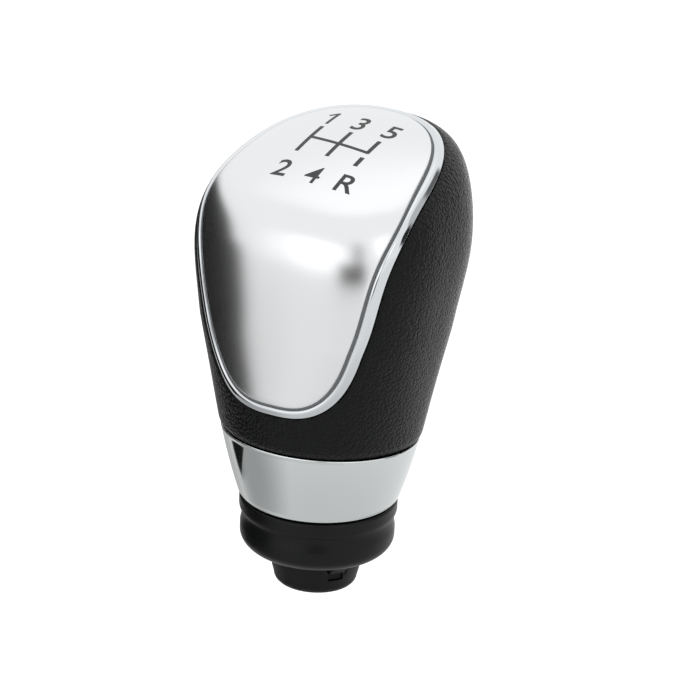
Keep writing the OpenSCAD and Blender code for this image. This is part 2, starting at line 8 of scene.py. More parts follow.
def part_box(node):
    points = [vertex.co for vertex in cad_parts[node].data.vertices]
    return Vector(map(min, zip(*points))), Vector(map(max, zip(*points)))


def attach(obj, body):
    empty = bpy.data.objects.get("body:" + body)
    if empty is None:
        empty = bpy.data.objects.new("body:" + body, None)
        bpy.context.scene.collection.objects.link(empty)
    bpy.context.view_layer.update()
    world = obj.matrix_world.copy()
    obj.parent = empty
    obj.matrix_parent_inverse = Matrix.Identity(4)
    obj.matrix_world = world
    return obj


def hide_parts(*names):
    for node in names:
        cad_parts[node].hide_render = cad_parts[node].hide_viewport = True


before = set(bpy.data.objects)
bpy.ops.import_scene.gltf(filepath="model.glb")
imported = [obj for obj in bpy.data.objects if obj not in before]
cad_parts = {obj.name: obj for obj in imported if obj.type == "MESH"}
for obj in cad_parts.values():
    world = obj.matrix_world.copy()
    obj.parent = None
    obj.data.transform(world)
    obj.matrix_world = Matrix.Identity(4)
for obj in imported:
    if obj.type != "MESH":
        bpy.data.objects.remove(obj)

# Gear shift knob: its visible pieces, the finishes, the studio and the camera.
# The plate, the bezel, the grey rim that stands for the shadow gap and the skin lie on one head form,
# given under "Head form".
mm = 0.001
scene = bpy.context.scene
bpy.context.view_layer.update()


# Selecting and shaping

def deselectAll():
    if bpy.context.object and bpy.context.object.mode != "OBJECT":
        bpy.ops.object.mode_set(mode="OBJECT")
    bpy.ops.object.select_all(action="DESELECT")


def takePiece(name):
    # The primitive that was just added, under its own name
    piece = bpy.context.object
    piece.name = name
    piece.data.name = name
    return piece


def selectOnly(piece):
    deselectAll()
    piece.select_set(True)
    bpy.context.view_layer.objects.active = piece


def editAll(piece, mode="VERT"):
    # Opens a piece in edit mode with all of it selected
    selectOnly(piece)
    bpy.ops.object.mode_set(mode="EDIT")
    bpy.ops.mesh.select_mode(type=mode)
    bpy.ops.mesh.select_all(action="SELECT")


def pickEdges(piece, wanted):
    # Selects the edges whose two ends pass the test
    editAll(piece, "EDGE")
    bpy.ops.mesh.select_all(action="DESELECT")
    bpy.ops.object.mode_set(mode="OBJECT")
    corners = piece.data.vertices
    for edge in piece.data.edges:
        first, second = edge.vertices
        edge.select = wanted(corners[first].co, corners[second].co)
    bpy.ops.object.mode_set(mode="EDIT")


def joinPieces(first, others):
    selectOnly(first)
    for piece in others:
        piece.select_set(True)
    bpy.ops.object.join()


def movePoints(piece, rule):
    # Sends every point of a mesh through a rule that takes and gives an array of places
    bpy.ops.object.mode_set(mode="OBJECT")
    places = np.empty(len(piece.data.vertices) * 3)
    piece.data.vertices.foreach_get("co", places)
    places = rule(places.reshape(-1, 3))
    piece.data.vertices.foreach_set("co", places.ravel())
    piece.data.update()


def closeUp(piece, gap=0.002 * mm):
    # Merges doubled points and turns the faces outwards
    editAll(piece)
    bpy.ops.mesh.remove_doubles(threshold=gap)
    bpy.ops.mesh.normals_make_consistent(inside=False)
    bpy.ops.object.mode_set(mode="OBJECT")


def smooth(piece, angle):
    # Smooth shading, except at edges sharper than the angle in degrees
    selectOnly(piece)
    bpy.ops.object.shade_smooth_by_angle(angle=math.radians(angle))


def applyModifier(piece, kind, **settings):
    selectOnly(piece)
    modifier = piece.modifiers.new(kind.title(), kind)
    for name, value in settings.items():
        setattr(modifier, name, value)
    bpy.ops.object.modifier_apply(modifier=modifier.name)


def arc(middle, radii, start, end, steps):
    # Points of an elliptic arc between two angles
    angles = np.radians(np.linspace(start, end, steps + 1))
    return [(middle[0] + radii[0] * math.cos(a), middle[1] + radii[1] * math.sin(a)) for a in angles]


def lathe(name, profile, steps):
    # Spins a closed profile of (radius, height) round the lever: one point is extruded along it first
    deselectAll()
    bpy.ops.mesh.primitive_plane_add(size=2 * mm)
    piece = takePiece(name)
    bpy.ops.object.mode_set(mode="EDIT")
    bpy.ops.mesh.select_mode(type="VERT")
    bpy.ops.mesh.select_all(action="SELECT")
    bpy.ops.mesh.merge(type="CENTER")
    here = Vector((0, 0, 0))
    for number, (radius, height) in enumerate(list(profile) + [profile[0]]):
        there = Vector((radius, 0, height))
        step = {"value": there - here}
        if number == 0:
            bpy.ops.transform.translate(**step)
        else:
            bpy.ops.mesh.extrude_vertices_move(TRANSFORM_OT_translate=step)
        here = there
    bpy.ops.mesh.select_all(action="SELECT")
    bpy.ops.mesh.spin(steps=steps, angle=2 * math.pi, center=(0, 0, 0), axis=(0, 0, 1))
    bpy.ops.object.mode_set(mode="OBJECT")
    closeUp(piece)
    return piece


def ringMesh(name, rows):
    # A torus whose section is bent to pass through the rows, each a ring of as many points
    rowCount, ringCount = rows.shape[:2]
    deselectAll()
    bpy.ops.mesh.primitive_torus_add(
        major_segments=ringCount, minor_segments=rowCount, major_radius=20 * mm, minor_radius=2 * mm
    )
    piece = takePiece(name)
    movePoints(piece, lambda places: rows.transpose(1, 0, 2).reshape(-1, 3))
    editAll(piece)
    bpy.ops.mesh.normals_make_consistent(inside=False)
    bpy.ops.object.mode_set(mode="OBJECT")
    return piece


# Head form

# Half width, reach to the front and reach to the back at five shares of the head's height
headForm = {
    "height": 53.7 * mm,
    "share": np.array([0, 0.2, 0.45, 0.7, 1]),
    "halfWidth": np.array([18.5, 20.2, 22.4, 23.9, 22.7]) * mm,
    "front": np.array([19.1, 19.6, 20.3, 20.8, 20.5]) * mm,
    "back": np.array([17.7, 18.7, 21.2, 25.7, 28.6]) * mm,
    "topShare": 1.1,  # the sides' curves go on a little above the head's height
    "square": 2.55,  # 2 is an oval section, and more is squarer
    "squareShare": 0.4,  # share of the height over which the oval foot turns squarer
    "edge": 9,  # the higher, the sharper the turn from the sides to the top
    "domeTilt": math.radians(13),
    "domeAcross": 71 * mm,
    "domeAlong": 83 * mm,
    "seamTilt": math.radians(4.6),
    "ringHeight": 12.9 * mm,
    "spineBack": 2 * mm,
    "spineShare": 0.58,
    "halvings": 26,  # how often a line is halved to find where it meets the surface
}
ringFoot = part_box("chrome_ring")[0].z
seamTop = ringFoot + headForm["ringHeight"]
spineTop = seamTop + headForm["spineShare"] * headForm["height"]

# Plane that the shield's outline is drawn on
shieldForm = {
    "tilt": math.radians(60),
    "middle": np.array([0, 3.9 * mm, seamTop + 28 * mm]),
    "lean": 0.3,
    "halfWidth": 19.95 * mm,
    "halfLength": 29.6 * mm,
    "square": 2.3,
    "backShare": 0.85,
    "frontSquare": 2.4,
    "frontSquareGain": 70,
    "frontTaper": 0.05,
    "frontShare": 0.42,
    "waistBulge": 0.5 * mm,
    "waistSteep": 0.24,
    "waistAt": -4 * mm,
    "waistReach": 8.5 * mm,
}
shieldNormal = np.array([0, -math.cos(shieldForm["tilt"]), math.sin(shieldForm["tilt"])])
shieldUp = np.array([0, math.sin(shieldForm["tilt"]), math.cos(shieldForm["tilt"])])
ringSteps = 256  # the most that Blender's torus takes
ringAngles = np.linspace(0, 2 * math.pi, ringSteps, endpoint=False)


def unit(vectors):
    return vectors / np.linalg.norm(vectors, axis=-1, keepdims=True)


def roundPower(values, square):
    return np.sign(values) * np.abs(values) ** (2 / square)


def reachAt(share, side):
    # Smooth curve through one column of the head's sections
    knots = headForm["share"]
    values = headForm[side]
    last = len(knots) - 1
    share = np.clip(share, 0, headForm["topShare"])
    low = np.clip(np.searchsorted(knots, share) - 1, 0, last - 1)
    before = np.maximum(np.arange(last + 1) - 1, 0)
    after = np.minimum(np.arange(last + 1) + 1, last)
    slope = (values[after] - values[before]) / (knots[after] - knots[before])
    span = knots[low + 1] - knots[low]
    t = (share - knots[low]) / span
    u = 1 - t
    bend = span * t * u * (u * slope[low] - t * slope[low + 1])
    return u * u * (1 + 2 * t) * values[low] + t * t * (3 - 2 * t) * values[low + 1] + bend


def squareAt(share):
    return 2 + (headForm["square"] - 2) * np.clip(share / headForm["squareShare"], 0, 1)


def seamHeight(y):
    return seamTop - math.tan(headForm["seamTilt"]) * y


def domeHeight(x, y):
    crown = x * x / (2 * headForm["domeAcross"]) + y * y / (2 * headForm["domeAlong"])
    return seamTop + headForm["height"] + math.tan(headForm["domeTilt"]) * y - crown


def headField(places):
    # Below zero inside the head and above zero outside it
    x, y, z = places[..., 0], places[..., 1], places[..., 2]
    low = seamHeight(y)
    share = (z - low) / headForm["height"]
    climb = (z - low) / (domeHeight(x, y) - low)
    square = squareAt(share)
    across = np.abs(x) / reachAt(share, "halfWidth")
    along = np.abs(y) / np.where(y < 0, reachAt(share, "front"), reachAt(share, "back"))
    side = (across**square + along**square) ** (1 / square)
    return side ** headForm["edge"] + np.maximum(climb, 0) ** headForm["edge"] - 1


def meetHead(inner, outer):
    # Where the lines from inside the head to outside it pass its surface
    inner = np.broadcast_to(inner, outer.shape)
    for _ in range(headForm["halvings"]):
        middle = (inner + outer) / 2
        inside = (headField(middle) < 0)[..., None]
        inner = np.where(inside, middle, inner)
        outer = np.where(inside, outer, middle)
    return (inner + outer) / 2


def inset(places, depth):
    # Surface points moved deeper, straight towards the head's spine
    spine = np.zeros_like(places)
    spine[..., 1] = headForm["spineBack"]
    spine[..., 2] = np.minimum(places[..., 2], spineTop)
    return places + np.asarray(depth)[..., None] * unit(spine - places)


def onShield(across, along, depth):
    # Points of the shield's plane carried onto the head, at a depth below its surface
    leaning = shieldUp + shieldForm["lean"] * shieldNormal
    deep = shieldForm["middle"] + across[..., None] * np.array([1, 0, 0]) + along[..., None] * leaning
    return inset(meetHead(deep, deep + headForm["height"] * shieldNormal), depth)


def shieldOutline(angle, inward):
    # The shield's outline, brought in along the surface; its front end is squarer and a little tapered.
    # At its waist, where the surface is steep, it bulges and moves in less on the plane
    f = shieldForm
    front = np.sin(angle) < 0
    share = np.where(front, f["frontShare"], f["backShare"])
    square = np.where(front, f["frontSquare"] + f["frontSquareGain"] * inward, f["square"])
    reach = roundPower(np.sin(angle), square)
    along = (f["halfLength"] - inward * share) * reach
    taper = np.where(front, f["frontTaper"], 0) * reach**2
    waist = np.exp(-(((along - f["waistAt"]) / f["waistReach"]) ** 2))
    width = f["halfWidth"] + f["waistBulge"] * waist - inward * (1 - f["waistSteep"] * waist)
    across = width * roundPower(np.cos(angle), square) * (1 - taper)
    return across, along


def shieldRow(inward, depth):
    # Ring that follows the shield's outline at a distance in from it
    across, along = shieldOutline(ringAngles, inward)
    return onShield(across, along, np.full(ringSteps, depth))


def shieldRing(name, profile):
    # Ring mesh round the shield, from a profile of (distance in from the outline, depth)
    return ringMesh(name, np.array([shieldRow(inward, depth) for inward, depth in profile]))


def levelRow(height, depth):
    # Ring round the head at a height above the seam
    share = height / headForm["height"]
    square = squareAt(share)
    side = np.sin(ringAngles)
    reach = np.where(side < 0, reachAt(share, "front"), reachAt(share, "back"))
    x = reachAt(share, "halfWidth") * roundPower(np.cos(ringAngles), square)
    y = reach * roundPower(side, square)
    return inset(np.stack([x, y, seamHeight(y) + height], -1), np.full(ringSteps, depth))


def wrapRow(inward, part, height, depth):
    # Ring that lies a part of the way from the shield's outline down to a level ring
    middle = np.array([0, headForm["spineBack"], spineTop])
    start = shieldRow(inward, 0)
    end = levelRow(height, 0)
    aim = unit(start + (end - start) * part - middle)
    return inset(meetHead(middle, middle + headForm["height"] * aim), np.full(ringSteps, depth))


# Node trees

class Wire:
    # A node's output that takes part in sums: each operator on it adds a Math node
    def __init__(self, work, socket):
        self.work = work
        self.socket = socket

    def sum(self, operation, first, second):
        return self.work.add("ShaderNodeMath", {"operation": operation}, {0: first, 1: second})

    def __add__(self, other):
        return self.sum("ADD", self, other)

    def __radd__(self, other):
        return self.sum("ADD", other, self)

    def __sub__(self, other):
        return self.sum("SUBTRACT", self, other)

    def __rsub__(self, other):
        return self.sum("SUBTRACT", other, self)

    def __mul__(self, other):
        return self.sum("MULTIPLY", self, other)

    def __rmul__(self, other):
        return self.sum("MULTIPLY", other, self)

    def __pow__(self, other):
        return self.sum("POWER", self, other)


class NodeWork:
    # One node tree, to which nodes are added with their settings first and their sockets after
    def __init__(self, tree):
        self.tree = tree

    def feed(self, socket, value):
        if isinstance(value, Wire):
            self.tree.links.new(value.socket, socket)
        else:
            socket.default_value = value

    def add(self, kind, settings=None, sockets=None, out=0):
        node = self.tree.nodes.new(kind)
        node.location.x = -200 * len(self.tree.nodes)
        for name, value in (settings or {}).items():
            setattr(node, name, value)
        for name, value in (sockets or {}).items():
            self.feed(node.inputs[name], value)
        return Wire(self, node.outputs[out])

    def rays(self):
        # Masks for what the camera sees itself and for what it sees in or through a surface
        seen = self.add("ShaderNodeLightPath", out="Is Camera Ray")
        mirrored = self.add("ShaderNodeLightPath", out="Is Glossy Ray")
        through = self.add("ShaderNodeLightPath", out="Is Transmission Ray")
        return seen, mirrored + through


class Finish(NodeWork):
    # A material with its Principled shader; a pattern reads the place on the object in metres
    def __init__(self, name, **values):
        self.material = bpy.data.materials.new(name)
        self.material.use_nodes = True
        super().__init__(self.material.node_tree)
        self.shader = self.tree.nodes["Principled BSDF"]
        for socket, value in values.items():
            self.set(socket, value)
        self.place = self.add("ShaderNodeTexCoord", out="Object")

    def set(self, socket, value):
        self.feed(self.shader.inputs[socket.replace("_", " ")], value)

    def noise(self, size, detail=2, distortion=0):
        # Noise whose blotches are about the given size across
        sockets = {"Vector": self.place, "Scale": 1 / size, "Detail": detail, "Distortion": distortion}
        return self.add("ShaderNodeTexNoise", {}, sockets)

    def tint(self, factor, first, second):
        # Colour between two colours
        settings = {"data_type": "RGBA"}
        return self.add("ShaderNodeMix", settings, {0: factor, 6: (*first, 1), 7: (*second, 1)}, out=2)

    def ease(self, value, low, high, start, end):
        # Soft step from start to end while the value goes from low to high
        sockets = {0: value, "From Min": low, "From Max": high, "To Min": start, "To Max": end}
        return self.add("ShaderNodeMapRange", {"interpolation_type": "SMOOTHSTEP"}, sockets)

    def bump(self, height, depth):
        return self.add("ShaderNodeBump", {}, {"Height": height, "Distance": depth, "Strength": 1})


def finishPiece(piece, finish):
    piece.data.materials.clear()
    piece.data.materials.append(finish.material)


def finishNode(node, finish):
    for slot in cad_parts[node].material_slots:
        slot.material = finish.material


# Finishes

satin = {
    "colour": (0.83, 0.835, 0.845),
    "roughness": 0.23,
    "haze": 0.03,
    "hazeSize": 9 * mm,
    "toothSize": 0.16 * mm,
    "toothDepth": 0.0003 * mm,
}
leather = {
    "dark": (0.0035, 0.0038, 0.0038),
    "light": (0.008, 0.0085, 0.0086),
    "roughness": 0.32,
    "pebbleShine": 0.12,
    "swayDull": 0.08,
    "pebbleSize": 0.62 * mm,
    "pebbleHeight": 0.7,
    "wrinkleSize": 0.42 * mm,
    "wrinkleHeight": 0.6,
    "swaySize": 2.4 * mm,
    "depth": 0.3 * mm,
}


def darken(colour, share=0.8):
    return tuple(share * channel for channel in colour)


def satinMetal():
    # Satin metal plate: a soft mirror with a very fine, even tooth
    finish = Finish("satinMetal", Base_Color=(*satin["colour"], 1), Metallic=1)
    haze = finish.noise(satin["hazeSize"], 3)
    tooth = finish.noise(satin["toothSize"], 1)
    finish.set("Roughness", satin["roughness"] + haze * satin["haze"])
    finish.set("Normal", finish.bump(tooth, satin["toothDepth"]))
    return finish


def polishedChrome(name, colour, roughness):
    # Polished chrome with a little wandering haze from wiping
    finish = Finish(name, Base_Color=(*colour, 1), Metallic=1)
    haze = finish.noise(6 * mm, 4, 0.6)
    finish.set("Roughness", roughness + haze * 0.03)
    return finish


def grainedLeather():
    # Near black grip with a fine pebbled grain, shinier on the pebbles than in the creases
    finish = Finish("grainedLeather", Specular_IOR_Level=0.15, Sheen_Weight=0.05, Sheen_Roughness=0.3)
    sway = finish.noise(leather["swaySize"], 2)
    cells = finish.add(
        "ShaderNodeTexVoronoi",
        {"feature": "F1"},
        {"Vector": finish.place, "Scale": 1 / leather["pebbleSize"], "Randomness": 1},
    )
    wrinkle = finish.noise(leather["wrinkleSize"], 4)
    pebble = 1 - cells
    height = pebble * leather["pebbleHeight"] + wrinkle * leather["wrinkleHeight"]
    finish.set("Base_Color", finish.tint(pebble * sway, leather["dark"], leather["light"]))
    dull = leather["roughness"] - pebble * leather["pebbleShine"] + sway * leather["swayDull"]
    finish.set("Roughness", dull)
    finish.set("Normal", finish.bump(height, leather["depth"]))
    return finish


def mouldedPlastic(name, colour, roughness, tooth):
    # Moulded plastic with a slight spark texture and uneven gloss
    finish = Finish(name, Specular_IOR_Level=0.2)
    cloud = finish.noise(4 * mm, 3)
    spark = finish.noise(0.3 * mm, 2)
    finish.set("Base_Color", finish.tint(cloud, darken(colour), colour))
    finish.set("Roughness", roughness + cloud * 0.08)
    finish.set("Normal", finish.bump(spark, tooth))
    return finish


def turnedSteel(name, colour):
    # Turned steel with fine rings round the lever's axis
    finish = Finish(name, Metallic=1)
    rings = finish.add(
        "ShaderNodeTexWave",
        {"wave_type": "BANDS", "bands_direction": "Z"},
        {"Vector": finish.place, "Scale": 0.3 / mm, "Distortion": 1.5, "Detail": 2},
    )
    finish.set("Base_Color", finish.tint(rings, darken(colour), colour))
    finish.set("Roughness", 0.3 + rings * 0.1)
    return finish


def cloudyFinish(name, roughness, size, first, second):
    # One even gloss whose colour wanders a little, for the film and the print
    finish = Finish(name, Roughness=roughness)
    finish.set("Base_Color", finish.tint(finish.noise(size, 2), first, second))
    return finish


plateFinish = satinMetal()
bezelFinish = polishedChrome("bezelChrome", (0.72, 0.745, 0.765), 0.06)
ringFinish = polishedChrome("ringChrome", (0.735, 0.765, 0.765), 0.05)
gripFinish = grainedLeather()
collarFinish = mouldedPlastic("collarPlastic", (0.0052, 0.0056, 0.0056), 0.3, 0.006 * mm)
neckFinish = mouldedPlastic("neckPlastic", (0.0014, 0.0014, 0.0015), 0.42, 0.01 * mm)
coreFinish = mouldedPlastic("corePlastic", (0.04, 0.04, 0.042), 0.5, 0.01 * mm)
carrierFinish = mouldedPlastic("carrierPlastic", (0.03, 0.03, 0.032), 0.5, 0.01 * mm)
# Grey of the rim in the gap between the bead and the plate: painted shade for the shadow in that gap
shadowGapFinish = mouldedPlastic("shadowGapPlastic", (0.2, 0.205, 0.21), 0.5, 0.004 * mm)
insertFinish = turnedSteel("insertSteel", (0.6, 0.61, 0.62))
screwFinish = turnedSteel("screwSteel", (0.7, 0.7, 0.68))
filmFinish = cloudyFinish("adhesiveFilm", 0.5, 2 * mm, (0.75, 0.72, 0.62), (0.85, 0.83, 0.75))
inkFinish = cloudyFinish("printInk", 0.45, 0.4 * mm, (0.02, 0.021, 0.023), (0.035, 0.037, 0.04))
print("finishes: done")


# Shield plate

shieldPlate = {
    "edge": 1.98 * mm,
    "roll": 0.45 * mm,
    "rollShare": 0.8,  # share of the edge's rows that lie on its rounding
    "thickness": 0.8 * mm,
    "cells": 116,
    "rollSteps": 9,
    "smooth": 40,
}


def plateRoll(step):
    # How far in from the outline and how deep the plate's edge is, from its face at 0 to its back at 1
    p = shieldPlate
    turn = np.clip(step / p["rollShare"], 0, 1) * math.pi / 2
    wall = np.clip((step - p["rollShare"]) / (1 - p["rollShare"]), 0, 1)
    inward = p["edge"] + p["roll"] * (1 - np.sin(turn))
    depth = p["roll"] * (1 - np.cos(turn)) + wall * (p["thickness"] - p["roll"])
    return inward, depth


def bendPlate(places):
    # A square slab bent to the shield: its square becomes a disc, and the disc the shield's outline
    u, v, step = places[:, 0], places[:, 1], np.clip(-places[:, 2], 0, 1)
    across = u * np.sqrt(1 - v * v / 2)
    along = v * np.sqrt(1 - u * u / 2)
    inward, depth = plateRoll(step)
    rimAcross, rimAlong = shieldOutline(np.arctan2(along, across), inward)
    share = np.minimum(np.hypot(across, along), 1)
    return onShield(share * rimAcross, share * rimAlong, depth)


def makeShieldPlate():
    deselectAll()
    cells = shieldPlate["cells"]
    bpy.ops.mesh.primitive_grid_add(x_subdivisions=cells, y_subdivisions=cells, size=2)
    piece = takePiece("shieldPlate")
    editAll(piece)
    bpy.ops.mesh.extrude_region_move(TRANSFORM_OT_translate={"value": (0, 0, -1)})
    pickEdges(piece, lambda a, b: abs(a.z - b.z) > 0.5)
    bpy.ops.mesh.subdivide(number_cuts=shieldPlate["rollSteps"])
    movePoints(piece, bendPlate)
    closeUp(piece)
    smooth(piece, shieldPlate["smooth"])
    finishPiece(piece, plateFinish)
    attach(piece, "knob")
    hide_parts("shield_plate")


makeShieldPlate()
print("shield plate: done")


# Bezel: a broad bead that rises towards the plate, on a ledge that reaches under the plate's edge

shieldBezel = {
    "edgeRound": 0.12 * mm,
    "slopeFoot": 0.03 * mm,
    "slope": (0.12, 0.94, 9),  # start, end and rows, as shares of the way to the crest
    "slopeEase": 1.15,
    "crest": 1.22 * mm,
    "crestRise": 0.25 * mm,
    "bead": 1.62 * mm,
    "ledgeEnd": 3.5 * mm,
    "ledgeTop": 1.8 * mm,
    "depth": 2.4 * mm,
    "smooth": 40,
}


def makeShieldBezel():
    b = shieldBezel
    edge = b["edgeRound"]
    fall = b["bead"] - b["crest"]
    profile = arc((edge, edge + b["slopeFoot"]), (edge, edge), 180, 255, 5)
    for share in np.linspace(*b["slope"]):
        climb = math.sin(share * math.pi / 2) ** b["slopeEase"]
        depth = b["slopeFoot"] - (b["crestRise"] + b["slopeFoot"]) * climb
        profile.append((edge + (b["crest"] - edge) * share, depth))
    profile += arc((b["crest"], fall - b["crestRise"]), (fall, fall), 270, 360, 8)
    profile += [
        (b["bead"], b["ledgeTop"]),
        (b["ledgeEnd"], b["ledgeTop"]),
        (b["ledgeEnd"], b["depth"]),
        (0, b["depth"]),
    ]
    piece = shieldRing("shieldBezel", profile)
    smooth(piece, b["smooth"])
    finishPiece(piece, bezelFinish)
    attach(piece, "knob")
    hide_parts("shield_bezel")


makeShieldBezel()
print("shield bezel: done")


# Rim of the carrier, seen as the grey line between the bead and the plate; its grey is painted shade
# standing for the shadow in that gap

shadowGapRim = {
    "start": 1.64 * mm,
    "end": 2.06 * mm,
    "top": 0.26 * mm,
    "wall": 1.96 * mm,
    "wallTop": 0.5 * mm,
    "depth": 0.9 * mm,
    "smooth": 30,
}


# A grey ring set where the gap between the bead and the plate lies in shadow, so it shows painted shade
def makeShadowGapRim():
    c = shadowGapRim
    profile = [(c["start"], c["top"]), (c["end"], c["top"]), (c["wall"], c["wallTop"])]
    profile += [(c["wall"], c["depth"]), (c["start"], c["depth"])]
    piece = shieldRing("shadowGapRim", profile)
    smooth(piece, c["smooth"])
    finishPiece(piece, shadowGapFinish)
    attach(piece, "knob")


makeShadowGapRim()
print("carrier rim: done")


# Grained skin of the grip

gripSkin = {
    "gap": 0.15 * mm,
    "thickness": 1.4 * mm,
    "bezelRoll": 0.6 * mm,
    "lowHeight": 3.2 * mm,
    "seamGap": 0.1 * mm,
    "seamRoll": 1.8 * mm,
    "seamTuck": 1.05 * mm,
    "wallRows": 4,
    "rollRows": 8,
    "rows": 84,
    "lowRows": 5,
    "innerRows": 24,
    "smooth": 50,
}


def makeGripSkin():
    g = gripSkin
    edge = -g["gap"]
    roll = g["bezelRoll"]
    wall = g["thickness"]
    low = g["lowHeight"]
    turns = np.radians(np.linspace(0, 90, g["rollRows"]))
    rows = [shieldRow(edge, depth) for depth in np.linspace(wall, roll, g["wallRows"])[:-1]]
    rows += [shieldRow(edge - roll + roll * math.cos(t), roll - roll * math.sin(t)) for t in turns]
    rows += [wrapRow(edge - roll, part, low, 0) for part in np.linspace(0, 1, g["rows"])[1:]]
    rollTop = g["seamGap"] + g["seamRoll"]
    rows += [levelRow(height, 0) for height in np.linspace(low, rollTop, g["lowRows"])[1:-1]]
    for t in turns:
        rows.append(levelRow(rollTop - g["seamRoll"] * math.sin(t), g["seamTuck"] * (1 - math.cos(t))))
    rows += [levelRow(g["seamGap"], wall), levelRow(low, wall)]
    rows += [wrapRow(edge, part, low, wall) for part in np.linspace(1, 0, g["innerRows"])[1:-1]]
    piece = ringMesh("gripSkin", np.array(rows))
    smooth(piece, g["smooth"])
    finishPiece(piece, gripFinish)
    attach(piece, "knob")
    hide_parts("grip_skin")


makeGripSkin()
print("grip skin: done")


# Chrome ring: turned straight, then its top is leaned to the seam

chromeRing = {
    "foot": 14.8 * mm,
    "top": 18.1 * mm,
    "bow": 0.35 * mm,
    "coneHeight": 16.9 * mm,
    "wall": 1.4 * mm,
    "footRound": 0.6 * mm,
    "topRound": 0.22 * mm,
    "lipHeight": 2.6 * mm,
    "lipThickness": 1.2 * mm,
    "lipRadius": 12.8 * mm,
    "rows": 22,
    "innerRows": 10,
    "steps": 288,
    "leanPasses": 6,
    "smooth": 40,
}


def ringRadius(height):
    # Outer radius of the ring at a height above its foot
    rise = (chromeRing["top"] - chromeRing["foot"]) / headForm["ringHeight"]
    share = height / chromeRing["coneHeight"]
    return chromeRing["foot"] + rise * height + 4 * chromeRing["bow"] * share * (1 - share)


def leanRing(places):
    # Each point keeps its share of the ring's height while the top leans with the seam
    angle = np.arctan2(places[:, 1], places[:, 0])
    radius = np.hypot(places[:, 0], places[:, 1])
    height = places[:, 2] - ringFoot
    leaned = height
    for _ in range(chromeRing["leanPasses"]):
        wide = radius + ringRadius(leaned) - ringRadius(height)
        top = seamHeight(wide * np.sin(angle)) - ringFoot
        leaned = height * top / headForm["ringHeight"]
    return np.stack([wide * np.cos(angle), wide * np.sin(angle), leaned + ringFoot], -1)


def makeChromeRing():
    r = chromeRing
    high = headForm["ringHeight"]
    inner = r["foot"] - r["wall"]
    foot = r["footRound"]
    top = r["topRound"]
    profile = [(inner, 0)]
    profile += arc((r["foot"] - foot, foot), (foot, foot), -90, -8, 8)
    profile += [(ringRadius(h), h) for h in np.linspace(foot + 0.1 * mm, high - top, r["rows"])]
    profile += arc((ringRadius(high) - top, high - top), (top, top), 8, 90, 5)
    profile += [(ringRadius(h) - r["wall"], h) for h in np.linspace(high, high / 3, r["innerRows"])]
    lipLow = r["lipHeight"]
    lipHigh = lipLow + r["lipThickness"]
    profile += [(inner, lipHigh), (r["lipRadius"], lipHigh), (r["lipRadius"], lipLow), (inner, lipLow)]
    piece = lathe("chromeRing", [(radius, ringFoot + height) for radius, height in profile], r["steps"])
    movePoints(piece, leanRing)
    smooth(piece, r["smooth"])
    finishPiece(piece, ringFinish)
    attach(piece, "knob")
    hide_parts("chrome_ring")


makeChromeRing()
print("chrome ring: done")


# Gaiter collar: a turned shell with a lip and a waist, a hub round the neck and ribs between them

collarLow, collarHigh = (corner.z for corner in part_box("gaiter_collar"))
gaiterCollar = {
    "lip": 14.7 * mm,
    "waist": 14.1 * mm,
    "barrel": 14.4 * mm,
    "foot": 10.3 * mm,
    "hole": 9.06 * mm,
    "holeEase": 0.2 * mm,
    "hub": 10.56 * mm,
    "wall": 1.5 * mm,
    "bowl": 3.2 * mm,
    "bowlRows": 20,
    "barrelHeight": 1.6 * mm,
    "lipHeight": 2.6 * mm,
    "waistHeight": 1 * mm,
    "waistFlare": 0.6 * mm,
    "lipRound": 0.5 * mm,
    "easePasses": 3,
    "steps": 256,
    "smooth": 58,
    "ribs": 8,
    "ribWidth": 1 * mm,
    "ribDrop": 1.5 * mm,
    "ribLet": 0.3 * mm,
    "ribRound": 0.15 * mm,
}


def easeCorners(points, passes, cut=0.2):
    # Cuts the corners of an open profile, which rounds them a little more with each pass
    for _ in range(passes):
        eased = [points[0]]
        for a, b in zip(points[:-1], points[1:]):
            for share in (cut, 1 - cut):
                eased.append((a[0] + (b[0] - a[0]) * share, a[1] + (b[1] - a[1]) * share))
        eased.append(points[-1])
        points = eased
    return points


def makeGaiterCollar():
    c = gaiterCollar
    bowlTop = collarLow + c["bowl"]
    waistMiddle = collarHigh - c["lipHeight"] - c["waistFlare"] - c["waistHeight"] / 2
    edge = c["lipRound"]
    side = [
        (c["barrel"], bowlTop + c["barrelHeight"]),
        (c["waist"], waistMiddle - c["waistHeight"] / 2),
        (c["waist"], waistMiddle + c["waistHeight"] / 2),
        (c["lip"], collarHigh - c["lipHeight"]),
        (c["lip"], collarHigh - edge),
    ]
    profile = [
        (c["hole"], collarHigh),
        (c["hole"], collarLow + c["holeEase"]),
        (c["hole"] + c["holeEase"], collarLow),
    ]
    profile += arc((c["foot"], bowlTop), (c["barrel"] - c["foot"], c["bowl"]), -90, 0, c["bowlRows"])
    profile += easeCorners(side, c["easePasses"])
    profile += arc((c["lip"] - edge, collarHigh - edge), (edge, edge), 15, 90, 5)
    inner = c["waist"] - c["wall"]
    profile += [
        (inner, collarHigh),
        (inner, bowlTop + 0.4 * c["wall"]),
        (c["hub"], collarLow + 1.5 * c["wall"]),
        (c["hub"], collarHigh),
    ]
    piece = lathe("gaiterCollar", profile, c["steps"])
    smooth(piece, c["smooth"])
    joinPieces(piece, [makeCollarRib(number) for number in range(c["ribs"])])
    finishPiece(piece, collarFinish)
    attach(piece, "collar")
    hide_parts("gaiter_collar")


